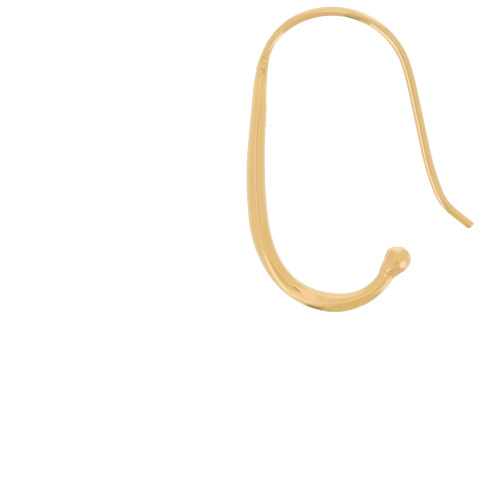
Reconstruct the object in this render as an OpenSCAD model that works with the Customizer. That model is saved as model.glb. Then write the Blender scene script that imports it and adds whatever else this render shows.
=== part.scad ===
// Ear wire in yellow gold: a ball end, a thick drawn-down front bar and a thin round hook
// that passes through the ear, soldered into one solid and lying on its side.
// The wire is planned as a chain of bends and straights in one plane, starting at the
// ball's centre, and is then laid on the surface it rests on.

/* [Ball end] */
// Diameter of the ball at the front end
ball_d = 2.65; // [2.3:0.05:3]
// Straight from the ball's centre to the first bend
neck_l = 2.3; // [2:0.1:3]
// Direction in which the neck leaves the ball
neck_heading = -125; // [-140:1:-110]
// Diameter of the bar at its neck
neck_d = 1.55; // [1.2:0.05:1.8]
// Lean of the solder that flares onto the ball, towards the inside of the bowl
lean_l = 0.2; // [0:0.02:0.3]

/* [Front bar] */
// Diameter of the bar along the bowl
bowl_d = 1.92; // [1.6:0.02:2.2]
// Diameter of the bar at its thickest, low on the cheek
cheek_d = 2.04; // [1.8:0.02:2.4]
// Diameter of the bar at the solder joint
tip_d = 1.06; // [1:0.02:1.3]
// Length of the rounded solder at the bar's tip
tip_l = 0.7; // [0.5:0.05:1]
// Radius of the bend behind the ball
neck_r = 5.8; // [5:0.1:7]
// Turn of the bend behind the ball
neck_angle = 61.5; // [55:0.5:68]
// Radius of the bowl
bowl_r = 7.5; // [6.5:0.1:9]
// Turn of the bowl
bowl_angle = 54; // [48:0.5:60]
// Radius of the cheek
cheek_r = 12; // [10:0.5:15]
// Turn of the cheek
cheek_angle = 23; // [18:0.5:28]
// Radius of the front's gentle bow
front_r = 44; // [35:1:60]
// Turn of the front's gentle bow
front_angle = 10; // [6:0.5:14]
// Straight above the front's bow
rise_l = 5.3; // [3:0.1:8]
// Radius of the bend below the joint
shoulder_r = 19; // [15:0.5:25]
// Turn of the bend below the joint
shoulder_angle = 8.5; // [5:0.5:12]

/* [Ear hook] */
// Diameter of the wire
wire_d = 0.98; // [0.85:0.01:1.05]
// Diameter of the wire where it was filed thin above the joint
waist_d = 0.85; // [0.75:0.01:0.9]
// Radius of the bend above the joint
crook_r = 6.2; // [5:0.1:7.5]
// Turn of the bend above the joint
crook_angle = 49; // [42:0.5:56]
// Radius of the arch over the ear
arch_r = 7.8; // [7:0.1:9]
// Turn of the arch over the ear
arch_angle = 102.5; // [95:0.5:110]
// Radius of the soft bend behind the arch
nape_r = 32; // [25:1:45]
// Turn of the soft bend behind the arch
nape_angle = 4.5; // [2:0.5:8]
// Straight of the back leg
back_l = 6; // [3:0.1:9]
// Radius of the slow outward sway
sway_r = 26; // [20:1:35]
// Turn of the slow outward sway
sway_angle = 9.5; // [6:0.5:14]
// Radius of the outward kick
kick_r = 5; // [4:0.1:7]
// Turn of the outward kick
kick_angle = 30; // [20:0.5:40]
// Straight tail, which takes a stopper
tail_l = 2.35; // [1.8:0.05:4]
// Diameter of the tail
tail_d = 0.9; // [0.85:0.01:0.98]
// Chamfer filed on the tail's end
tail_chamfer = 0.14; // [0.05:0.01:0.2]

/* [Hidden] */
gold = "#e4c086";
$fn = 64;

// Sides of a swept ring, and the most turn, the most length and the least length
// between two rings
ring_sides = 32;
ring_angle = 6;
ring_gap = 1.2;
ring_least = 0.2;

// Spacing of the places that are tested for resting, and passes of that test
support_gap = 0.4;
settle_passes = 5;

// Length over which the diameters are smoothed
blend_l = 0.4;

// Start of the bar inside the ball, from the ball's centre
bar_start = 0.18 * ball_d;

// How far the hook is sunk into the bar's tip and into the tail, and its fit in the tail
hook_sink = 0.5;
tail_sink = 0.3;
tail_fit = 0.02;

// A bend as a length and a turn, where a left turn is positive
function bend(r, turn) = [r * abs(turn) * PI / 180, turn];

// The wire from the ball to the tail: length and turn
PATH = [
    [neck_l, 0],
    bend(neck_r, -neck_angle),
    bend(bowl_r, -bowl_angle),
    bend(cheek_r, -cheek_angle),
    bend(front_r, -front_angle),
    [rise_l, 0],
    bend(shoulder_r, -shoulder_angle),
    bend(crook_r, -crook_angle),
    bend(arch_r, -arch_angle),
    bend(nape_r, -nape_angle),
    [back_l, 0],
    bend(sway_r, sway_angle),
    bend(kick_r, kick_angle),
    [tail_l, 0],
];
CROOK = 7;
ARCH = 8;
KICK = 12;
TAIL = 13;

// Place and heading after travelling a length along one row of the path
function travel(from, row, l) =
    let (h = from[2], turn = row[1] * l / row[0])
    row[1] == 0
        ? [from[0] + l * cos(h), from[1] + l * sin(h), h]
        : let (r = row[0] * 180 / (PI * row[1]))
          [
              from[0] + r * (sin(h + turn) - sin(h)),
              from[1] - r * (cos(h + turn) - cos(h)),
              h + turn,
          ];

// Distance from the ball, with place and heading, where each row starts
STARTS = [
    for (
        i = 0, s = 0, f = [0, 0, neck_heading];
        i <= TAIL;
        f = travel(f, PATH[i], PATH[i][0]), s = s + PATH[i][0], i = i + 1
    )
        [s, f]
];
bar_l = STARTS[CROOK][0];
arch_s = STARTS[ARCH][0];
kick_s = STARTS[KICK][0];
tail_s = STARTS[TAIL][0];
wire_l = tail_s + tail_l;

// Row of the path that holds a distance from the ball
function row_at(s, i = 0) = i == TAIL || s < STARTS[i + 1][0] ? i : row_at(s, i + 1);

// Place and heading at a distance from the ball
function at(s) = let (i = row_at(s)) travel(STARTS[i][1], PATH[i], s - STARTS[i][0]);

// The bar: share of its length, and diameter
BAR_ROWS = [
    [0, 1.3 * neck_d],
    [0.035, 1.2 * neck_d],
    [0.055, 1.07 * neck_d],
    [0.07, 1.02 * neck_d],
    [0.085, neck_d],
    [0.11, 1.02 * neck_d],
    [0.165, 0.89 * bowl_d],
    [0.225, bowl_d],
    [0.34, 0.98 * bowl_d],
    [0.43, bowl_d],
    [0.54, cheek_d],
    [0.62, 0.97 * cheek_d],
    [0.71, 0.93 * cheek_d],
    [0.8, 0.83 * cheek_d],
    [0.91, 0.7 * cheek_d],
    [0.945, 0.65 * cheek_d],
    [1, tip_d],
];

// The rounded solder past the bar's end: share of its length, and diameter
TIP_ROWS = [
    [0.6, 0.94 * tip_d],
    [1, 0.86 * tip_d],
];

// The hook's wire above the joint: share of the crook's length, and diameter
CROOK_ROWS = [
    [0.16, 1.04 * waist_d],
    [0.35, 1.01 * waist_d],
    [0.52, waist_d],
    [0.7, 1.05 * waist_d],
    [0.92, 0.98 * wire_d],
];

// Diameters against the distance from the ball
BAR_DIAMETERS = concat(
    [for (row = BAR_ROWS) [row[0] * bar_l, row[1]]],
    [for (row = TIP_ROWS) [bar_l + row[0] * tip_l, row[1]]]
);
HOOK_DIAMETERS = concat(
    [for (row = CROOK_ROWS) [bar_l + row[0] * (arch_s - bar_l), row[1]]],
    [[arch_s, wire_d], [kick_s, wire_d], [tail_s, tail_d - tail_fit]]
);

// Smoothed diameter at a distance from the ball
function diameter(diameters, s) =
    (
        lookup(s - blend_l, diameters)
        + 2 * lookup(s, diameters)
        + lookup(s + blend_l, diameters)
    ) / 4;

// Distances at which the path's rows are cut into rings, from one place to another
function ring_places(from, to) =
    concat(
        [from],
        [
            for (i = [0:TAIL])
                let (
                    l = PATH[i][0],
                    n = ceil(max(abs(PATH[i][1]) / ring_angle, l / ring_gap))
                )
                for (k = [0:n - 1])
                    let (s = STARTS[i][0] + l * k / n)
                    if (s > from + ring_least && s < to - ring_least) s
        ],
        [to]
    );

// Even distances from one place to another
function places(from, to) =
    let (n = ceil((to - from) / support_gap))
    [for (i = [0:n]) from + (to - from) * i / n];

// Resting on a surface. It is a plane whose height below the wire's own plane changes by
// plane[0] along X and by plane[1] along Y, and is plane[2] below the ball's centre.
function plane_under(a, b, c) =
    let (
        u = b - a,
        v = c - a,
        det = u[0] * v[1] - u[1] * v[0],
        nx = (u[2] * v[1] - v[2] * u[1]) / det,
        ny = (u[0] * v[2] - v[0] * u[2]) / det
    )
    [nx, ny, a[2] - nx * a[0] - ny * a[1]];

// Height of a place in the wire's own plane above the surface
function height(plane, p) = plane[0] * p[0] + plane[1] * p[1] + plane[2];

// A place on the wire with its radius
function support(diameters, s) = let (f = at(s)) [f[0], f[1], diameter(diameters, s) / 2];

// The support that comes lowest over a surface
function lowest(plane, supports) =
    let (gaps = [for (p = supports) height(plane, p) - p[2]])
    supports[search(min(gaps), gaps)[0]];

BALL_SUPPORT = [0, 0, ball_d / 2];
BAR_SUPPORTS = [for (s = places(ball_d, bar_l)) support(BAR_DIAMETERS, s)];
HOOK_SUPPORTS = [
    for (s = places(arch_s, wire_l - tail_chamfer)) support(HOOK_DIAMETERS, s)
];

// The surface that touches the ball, the bar and the hook
function settled(bar, hook, passes) =
    let (plane = plane_under(BALL_SUPPORT, bar, hook))
    passes == 0
        ? plane
        : settled(lowest(plane, BAR_SUPPORTS), lowest(plane, HOOK_SUPPORTS), passes - 1);

SURFACE = settled(BAR_SUPPORTS[0], HOOK_SUPPORTS[0], settle_passes);
tilt = asin(norm([SURFACE[0], SURFACE[1]]));

// Middle of the supports in the wire's own plane, along X or Y
function middle(i) =
    let (all = concat([BALL_SUPPORT], BAR_SUPPORTS, HOOK_SUPPORTS))
    (min([for (p = all) p[i] - p[2]]) + max([for (p = all) p[i] + p[2]])) / 2;

// Lays what is drawn in the wire's own plane on its side, centred over the origin
module lay_flat() {
    middle_x = middle(0);
    middle_y = middle(1);
    translate([0, 0, height(SURFACE, [middle_x, middle_y])])
        rotate(tilt, [SURFACE[1], -SURFACE[0], 0])
            translate([-middle_x, -middle_y, 0])
                children();
}

// How far a ring leans towards the inside of the bowl, which is only near the ball
function lean(s) = lean_l * max(0, 1 - s / neck_l);

// Round ring of points about a place on the wire. The inside of the bowl is on the right.
function ring(diameters, s) =
    let (f = at(s), r = diameter(diameters, s) / 2)
    [
        for (i = [0:ring_sides - 1])
            let (a = 360 * i / ring_sides, side = r * cos(a) - lean(s))
            [f[0] - side * sin(f[2]), f[1] + side * cos(f[2]), r * sin(a)]
    ];

// Solid swept through round rings from one place on the wire to another
module sweep(diameters, from, to) {
    rings = ring_places(from, to);
    n = ring_sides;
    last = len(rings) - 1;
    start_cap = [for (i = [0:n - 1]) i];
    end_cap = [for (i = [n - 1:-1:0]) last * n + i];
    sides = [
        for (k = [0:last - 1], i = [0:n - 1])
            let (a = k * n + i, b = k * n + (i + 1) % n)
            each [[a, a + n, b + n], [a, b + n, b]]
    ];
    polyhedron([for (s = rings) each ring(diameters, s)], concat([start_cap, end_cap], sides));
}

// Ball at the front end
module ball_end() {
    color(gold)
        sphere(d = ball_d);
}

// Thick bar from the ball through the bowl and up the front, with the joint's solder
module front_bar() {
    color(gold)
        sweep(BAR_DIAMETERS, bar_start, bar_l + tip_l);
}

// Round wire from inside the bar's tip over the ear, down behind it and out to the tail
module ear_hook() {
    color(gold)
        sweep(HOOK_DIAMETERS, bar_l - hook_sink, tail_s + tail_sink);
}

// Straight tail with its filed end
module tail() {
    r = tail_d / 2;
    f = STARTS[TAIL][1];
    color(gold)
        translate([f[0], f[1], 0])
            rotate(f[2])
                rotate([0, 90, 0])
                    rotate_extrude()
                        polygon([
                            [0, 0],
                            [r, 0],
                            [r, tail_l - tail_chamfer],
                            [r - tail_chamfer, tail_l],
                            [0, tail_l],
                        ]);
}

module ear_wire() {
    lay_flat() {
        ball_end();
        front_bar();
        ear_hook();
        tail();
    }
}

ear_wire();
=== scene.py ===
"""Gold ear wire, lying on its side on a pale lit table and seen from straight above.

The wire is planned in its own plane, from the ball at its front end through the bowl, up the
front, over the ear and down to the tail. Places along it are distances in millimetres from the
ball's centre, and places round it are angles from its left side over its top, so that the
outside of the bowl is at 0 degrees and the inside at 180. The wire is skinned as one closed
mesh, because the real one is soldered into one body, and is then laid on the surface that it
rests on.
"""

import logging
import math
from abc import ABC, abstractmethod
from collections.abc import Sequence
from dataclasses import dataclass, field
from enum import Enum
from typing import ClassVar

import bpy
import numpy as np
from mathutils import Matrix, Vector, noise


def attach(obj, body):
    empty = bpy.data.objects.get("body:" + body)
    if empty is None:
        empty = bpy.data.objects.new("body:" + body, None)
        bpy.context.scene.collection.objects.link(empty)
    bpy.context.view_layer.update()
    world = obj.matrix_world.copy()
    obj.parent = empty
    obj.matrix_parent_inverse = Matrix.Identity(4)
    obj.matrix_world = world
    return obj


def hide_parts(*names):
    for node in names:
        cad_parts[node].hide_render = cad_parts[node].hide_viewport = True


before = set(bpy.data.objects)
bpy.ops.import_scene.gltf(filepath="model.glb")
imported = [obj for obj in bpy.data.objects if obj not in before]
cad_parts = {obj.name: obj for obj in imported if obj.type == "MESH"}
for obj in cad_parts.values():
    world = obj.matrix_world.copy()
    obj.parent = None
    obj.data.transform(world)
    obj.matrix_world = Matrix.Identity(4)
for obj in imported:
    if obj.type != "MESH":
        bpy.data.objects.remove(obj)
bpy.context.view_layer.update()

log = logging.getLogger("ear_wire")

Array = np.ndarray
Colour = tuple[float, float, float]
Socket = bpy.types.NodeSocket

MM = 0.001
NODE = "ear_wire"
BODY = "root"
PIECE = "ear_wire_metal"
WHITE = (1.0, 1.0, 1.0, 1.0)
PLACE_DATA = "wire_place"

# The photograph: pixels to a millimetre, its side in pixels, and the pixel of the origin
PHOTO_SCALE = 10.0
PHOTO_SIDE = 500.0
PHOTO_ORIGIN = (360.64, 159.27)


class Stretch(Enum):
    """The named stretches of the wire, in order from the ball."""

    BALL_END = "ball_end"
    FRONT_BAR = "front_bar"
    SOLDER_JOINT = "solder_joint"
    EAR_HOOK = "ear_hook"
    TAIL = "tail"


@dataclass(frozen=True)
class PathRow:
    """One stretch of the wire's line: its length in mm and its turn in degrees, left positive."""

    length: float
    turn: float = 0.0

    def walk(self, start: Array, heading: float, way: Array) -> tuple[Array, Array]:
        """Follows the stretch from its start.

        Args:
            start: Place in mm at which it starts.
            heading: Heading in radians at its start.
            way: Distances in mm from its start.

        Returns:
            The places in the plane as an array of shape (n, 2), and the headings in radians.
        """
        turn = math.radians(self.turn)
        now = heading + turn * way / self.length
        if turn == 0:
            steps = np.outer(way, [math.cos(heading), math.sin(heading)])
        else:
            right, up = np.sin(now) - math.sin(heading), math.cos(heading) - np.cos(now)
            steps = self.length / turn * np.column_stack([right, up])
        return start + steps, now


def bend(radius: float, turn: float) -> PathRow:
    """Makes the row of a bend from its radius in mm and its turn in degrees."""
    return PathRow(radius * math.radians(abs(turn)), turn)


@dataclass
class WirePath:
    """The line of the wire in its own plane, as straights and bends from the ball's centre."""

    heading: float = -125.0
    neck: PathRow = PathRow(2.3)
    neck_bend: PathRow = bend(5.8, -61.5)
    bowl: PathRow = bend(7.5, -54.0)
    cheek: PathRow = bend(12.0, -23.0)
    front: PathRow = bend(44.0, -10.0)
    rise: PathRow = PathRow(5.3)
    shoulder: PathRow = bend(19.0, -8.5)
    crook: PathRow = bend(6.2, -49.0)
    arch: PathRow = bend(7.8, -102.5)
    nape: PathRow = bend(32.0, -4.5)
    back: PathRow = PathRow(6.0)
    sway: PathRow = bend(26.0, 9.5)
    kick: PathRow = bend(5.0, 30.0)
    tail: PathRow = PathRow(2.35)

    def __post_init__(self) -> None:
        """Works out where each row starts."""
        rows = {name: row for name, row in vars(self).items() if isinstance(row, PathRow)}
        self.rows = list(rows.values())
        self.starts = np.cumsum([0.0] + [row.length for row in self.rows])
        start_of = dict(zip(rows, self.starts.tolist()))
        self.bar_l = start_of["crook"]
        self.arch_s = start_of["arch"]
        self.kick_s = start_of["kick"]
        self.tail_s = start_of["tail"]
        self.wire_l = float(self.starts[-1])

    def at(self, along: Array) -> tuple[Array, Array]:
        """Follows the wire's line.

        Args:
            along: Distances in mm from the ball's centre. Negative ones lie straight behind it.

        Returns:
            The places in the plane as an array of shape (n, 2), and the headings in radians.
        """
        places, headings = np.zeros((len(along), 2)), np.zeros(len(along))
        owner = np.searchsorted(self.starts, along, "right") - 1
        owner = np.clip(owner, 0, len(self.rows) - 1)
        here, heading = np.zeros(2), math.radians(self.heading)
        for i, row in enumerate(self.rows):
            mine = owner == i
            places[mine], headings[mine] = row.walk(here, heading, along[mine] - self.starts[i])
            (here,), (heading,) = row.walk(here, heading, np.array([row.length]))
        return places, headings


@dataclass(frozen=True)
class Skin:
    """Places on the wire: distances in mm along it, angles in radians round it, and radii in mm."""

    along: Array
    around: Array
    radius: Array


class Tree:
    """Short ways to add nodes to a node tree and to link them."""

    def __init__(self, tree: bpy.types.NodeTree) -> None:
        """Keeps the tree that nodes are added to."""
        self.tree = tree

    def add(self, kind: str, *given: object, **settings: object) -> bpy.types.Node:
        """Adds a node.

        Args:
            kind: Type of the node.
            *given: Values or sockets for its first inputs, in order.
            **settings: Settings of the node by name.

        Returns:
            The node.
        """
        node = self.tree.nodes.new(kind)
        for name, value in settings.items():
            setattr(node, name, value)
        for socket, value in zip(node.inputs, given):
            self.feed(socket, value)
        return node

    def feed(self, socket: Socket, value: object) -> None:
        """Links a socket to another node's output, or sets it to a plain value.

        Args:
            socket: Input of a node.
            value: Socket or plain value that it takes.
        """
        if isinstance(value, Socket):
            self.tree.links.new(value, socket)
        else:
            socket.default_value = value

    def math(self, operation: str, *values: object, clamp: bool = False) -> Socket:
        """Adds a Math node on up to three values or sockets and returns its output."""
        node = self.add("ShaderNodeMath", *values, operation=operation, use_clamp=clamp)
        return node.outputs[0]

    def vector(self, operation: str, *values: object) -> Socket:
        """Adds a Vector Math node on values or sockets and returns its vector."""
        return self.add("ShaderNodeVectorMath", *values, operation=operation).outputs["Vector"]

    def apart(self, vector: object) -> bpy.types.bpy_prop_collection:
        """Splits a vector and returns the outputs of its X, Y and Z."""
        return self.add("ShaderNodeSeparateXYZ", vector).outputs

    def mix(self, blend: str, share: object, first: object, second: object) -> Socket:
        """Mixes two colours.

        Args:
            blend: Way to blend them.
            share: How much of the second colour shows.
            first: Colour or socket that lies below.
            second: Colour or socket that lies above.

        Returns:
            The socket of the mixed colour.
        """
        node = self.add("ShaderNodeMix", data_type="RGBA", blend_type=blend)
        for name, value in zip(("Factor", "A", "B"), (share, first, second)):
            self.feed(node.inputs[name], value)
        return node.outputs["Result"]

    def ramp(
        self, value: object, low: object, high: object, to_low: object = 0.0, to_high: object = 1.0
    ) -> Socket:
        """Maps a value smoothly from low and high to to_low and to_high, and returns the result."""
        given = (value, low, high, to_low, to_high)
        return self.add("ShaderNodeMapRange", *given, interpolation_type="SMOOTHSTEP").outputs[0]

    def edge(self, value: Socket, place: Socket, soft: Socket, inside: bool) -> Socket:
        """Adds one soft edge.

        Args:
            value: Value that is compared.
            place: Value at the edge.
            soft: Half width of the edge's softness.
            inside: Whether smaller values lie inside.

        Returns:
            The socket, which is 1 inside the edge and 0 outside it.
        """
        below = self.math("SUBTRACT", place, soft)
        above = self.math("ADD", place, soft)
        return self.ramp(value, above, below) if inside else self.ramp(value, below, above)

    def cloud(self, place: object, seed: object, detail: float) -> Socket:
        """Adds a smooth noise, whose lumps are about one unit long, and returns its output."""
        node = self.add("ShaderNodeTexNoise", place, seed, 1.0, detail, noise_dimensions="4D")
        return node.outputs["Fac"]

    def group(self, made: bpy.types.NodeTree, **values: object) -> Socket:
        """Adds a node group with its inputs.

        Args:
            made: The group to place.
            **values: Values or sockets for its inputs, by name with _ for each space.

        Returns:
            The socket of the group's first output.
        """
        node = self.add("ShaderNodeGroup", node_tree=made)
        for name, value in values.items():
            self.feed(node.inputs[name.replace("_", " ")], value)
        return node.outputs[0]


FLOAT, VECTOR, COLOUR = "NodeSocketFloat", "NodeSocketVector", "NodeSocketColor"


def new_group(
    name: str, vectors: str, values: str, output: str = "Mask", kind: str = FLOAT
) -> tuple[Tree, bpy.types.bpy_prop_collection, Socket]:
    """Starts a shader node group.

    Args:
        name: Name of the group.
        vectors: Names of its vector inputs, with _ for each space inside a name.
        values: Names of its plain inputs, in the same way.
        output: Name of the output.
        kind: Socket type of the output.

    Returns:
        The tree, its inputs by name, and the socket that takes what the group puts out.
    """
    made = bpy.data.node_groups.new(name, "ShaderNodeTree")
    for sort, labels in ((VECTOR, vectors), (FLOAT, values)):
        for label in labels.split():
            spaced = label.replace("_", " ")
            made.interface.new_socket(name=spaced, in_out="INPUT", socket_type=sort)
    made.interface.new_socket(name=output, in_out="OUTPUT", socket_type=kind)
    tree = Tree(made)
    return tree, tree.add("NodeGroupInput").outputs, tree.add("NodeGroupOutput").inputs[output]


def inputs_of(row: object, *left_out: str) -> dict[str, object]:
    """Gives a row's fields as inputs of a node group, without those left out."""
    return {name.title(): value for name, value in vars(row).items() if name not in left_out}


class NodeGroups:
    """The effects that the gold finishes and the light tent share, each built once."""

    # How the red, green and blue of gold follow the strength of what it reflects
    TONE_POWERS = (0.75, 1.0, 1.9)
    # The strengths of noise at which streaks and haze start and are full
    STREAK_EDGES = (0.3, 0.7)
    HAZE_EDGES = (0.32, 0.68)
    # The height in mm above the wire's middle from which a painted line of highlight or shade shows in
    # full
    LINE_RISE = 0.2

    def __init__(self) -> None:
        """Builds the groups."""
        self.tone = self.build_tone()
        self.streaks = self.build_streaks()
        self.haze = self.build_haze()
        self.pits = self.build_pits()
        self.spot = self.build_spot()
        self.line = self.build_line()
        self.panel = self.build_panel()

    def build_tone(self) -> bpy.types.NodeTree:
        """The colour of a strength of light: paler than white when bright, and warmer when dim.

        Returns:
            The node group.
        """
        tree, given, made = new_group("light_tone", "", "Level", "Colour", COLOUR)
        tones = [tree.math("POWER", given["Level"], power) for power in self.TONE_POWERS]
        tree.feed(made, tree.add("ShaderNodeCombineColor", *tones).outputs[0])
        return tree.tree

    def build_streaks(self) -> bpy.types.NodeTree:
        """Fine lines along the wire, left by drawing and polishing, as a mask from 0 to 1.

        Returns:
            The node group.
        """
        tree, given, made = new_group("drawn_streaks", "Place", "Length Width Seed")
        width = given["Width"]
        size = tree.add("ShaderNodeCombineXYZ", given["Length"], width, width).outputs[0]
        drawn = tree.vector("DIVIDE", given["Place"], size)
        tree.feed(made, tree.ramp(tree.cloud(drawn, given["Seed"], detail=3.0), *self.STREAK_EDGES))
        return tree.tree

    def build_haze(self) -> bpy.types.NodeTree:
        """Soft patches where the polish is duller, as a mask from 0 to 1.

        Returns:
            The node group.
        """
        tree, given, made = new_group("polish_haze", "Place", "Size Seed")
        scaled = tree.vector("DIVIDE", given["Place"], given["Size"])
        tree.feed(made, tree.ramp(tree.cloud(scaled, given["Seed"], detail=2.0), *self.HAZE_EDGES))
        return tree.tree

    def build_pits(self) -> bpy.types.NodeTree:
        """Small round pits, as in solder or cast gold: 1 in a pit and 0 between pits.

        Returns:
            The node group.
        """
        tree, given, made = new_group("gas_pits", "Place", "Spacing Size")
        cells = tree.add("ShaderNodeTexVoronoi", tree.vector("DIVIDE", given["Place"], given["Spacing"]))
        tree.feed(cells.inputs["Scale"], 1.0)
        tree.feed(made, tree.ramp(cells.outputs["Distance"], given["Size"], 0.0))
        return tree.tree

    def build_spot(self) -> bpy.types.NodeTree:
        """An oval spot at one place on the wire: 1 in its core and 0 outside it.

        Returns:
            The node group.
        """
        tree, given, made = new_group("oval_spot", "Place Centre Size", "Core Slant")
        away = tree.vector("SUBTRACT", given["Place"], given["Centre"])
        turned = tree.add("ShaderNodeVectorRotate", away, rotation_type="Z_AXIS")
        tree.feed(turned.inputs["Angle"], tree.math("RADIANS", given["Slant"]))
        shares = tree.vector("DIVIDE", turned.outputs[0], given["Size"])
        far = tree.add("ShaderNodeVectorMath", shares, operation="LENGTH").outputs["Value"]
        tree.feed(made, tree.ramp(far, 1.0, given["Core"]))
        return tree.tree

    def build_line(self) -> bpy.types.NodeTree:
        """A thin wavering line of painted light along the top of the wire: 1 on the line and 0 beside
        it.

        Returns:
            The node group.
        """
        tree, given, made = new_group(
            "painted_light_line", "Place", "Start End Side Waver Period Width Fade Shift"
        )
        along, side, rise = tree.apart(given["Place"])
        past = tree.math("SUBTRACT", along, given["Start"])
        turns = tree.math("DIVIDE", tree.math("SUBTRACT", past, given["Shift"]), given["Period"])
        wave = tree.math("COSINE", tree.math("MULTIPLY", turns, 2 * math.pi))
        middle = tree.math("MULTIPLY_ADD", wave, given["Waver"], given["Side"])
        far = tree.math("ABSOLUTE", tree.math("SUBTRACT", side, middle))
        mask = tree.ramp(far, given["Width"], 0.0)
        left = tree.math("SUBTRACT", given["End"], along)
        for room in (past, left):
            mask = tree.math("MULTIPLY", mask, tree.ramp(room, 0.0, given["Fade"]))
        tree.feed(made, tree.math("MULTIPLY", mask, tree.ramp(rise, 0.0, self.LINE_RISE)))
        return tree.tree

    def build_panel(self) -> bpy.types.NodeTree:
        """One panel of the tent, which covers what is behind it in the directions of its own.

        Returns:
            The node group.
        """
        inputs = "Azimuth Half Low High Level Side_Soft Low_Soft High_Soft Climb Lean"
        tree, given, made = new_group("tent_panel", "", f"Toward Tilt Behind {inputs}", "Seen")
        middle = tree.math("MULTIPLY_ADD", given["Tilt"], given["Lean"], given["Azimuth"])
        turn = tree.math("WRAP", tree.math("SUBTRACT", given["Toward"], middle), 180.0, -180.0)
        climbed = tree.math("MULTIPLY", turn, given["Climb"])
        tilt = tree.math("SUBTRACT", given["Tilt"], climbed)
        away = tree.math("ABSOLUTE", turn)
        side = tree.edge(away, given["Half"], given["Side Soft"], inside=True)
        low = tree.edge(tilt, given["Low"], given["Low Soft"], inside=False)
        high = tree.edge(tilt, given["High"], given["High Soft"], inside=True)
        mask = tree.math("MULTIPLY", tree.math("MULTIPLY", side, low), high)
        change = tree.math("SUBTRACT", given["Level"], given["Behind"])
        tree.feed(made, tree.math("MULTIPLY_ADD", mask, change, given["Behind"]))
        return tree.tree


@dataclass(frozen=True)
class Spot:
    """An oval spot: centre and half sizes on the straight wire in mm, and how strong it is.

    The core is the share of it that is even, and the slant in degrees turns its length towards
    the inside of the bowl.
    """

    centre: tuple[float, float, float]
    size: tuple[float, float, float]
    amount: float
    core: float = 0.3
    slant: float = 0.0

    def mask(self, tree: Tree, groups: NodeGroups, place: Socket) -> Socket:
        """Adds the spot's mask to a material and returns its socket."""
        return tree.group(groups.spot, Place=place, **inputs_of(self, "amount"))


@dataclass(frozen=True)
class PaintedLightLine:
    """A thin line of painted light along the top of the wire, which wavers from side to side: a painted
    highlight where its amount is above 0, and painted shade where it is below. Lengths are in mm.

    The shift is how far past its start the line first lies furthest to the left.
    """

    start: float
    end: float
    side: float
    waver: float
    period: float
    width: float
    amount: float
    fade: float = 2.0
    shift: float = 0.0

    def angle(self, skin: Skin) -> Array:
        """Finds where round the wire the line runs.

        Args:
            skin: Places on the wire.

        Returns:
            The angles in radians.
        """
        turns = (skin.along - self.start - self.shift) / self.period
        wave = self.waver * np.cos(2 * math.pi * turns)
        return np.arccos(np.clip((self.side + wave) / skin.radius, -1.0, 1.0))

    def mask(self, tree: Tree, groups: NodeGroups, place: Socket) -> Socket:
        """Adds the line's mask to a material and returns its socket."""
        return tree.group(groups.line, Place=place, **inputs_of(self, "amount"))


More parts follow.
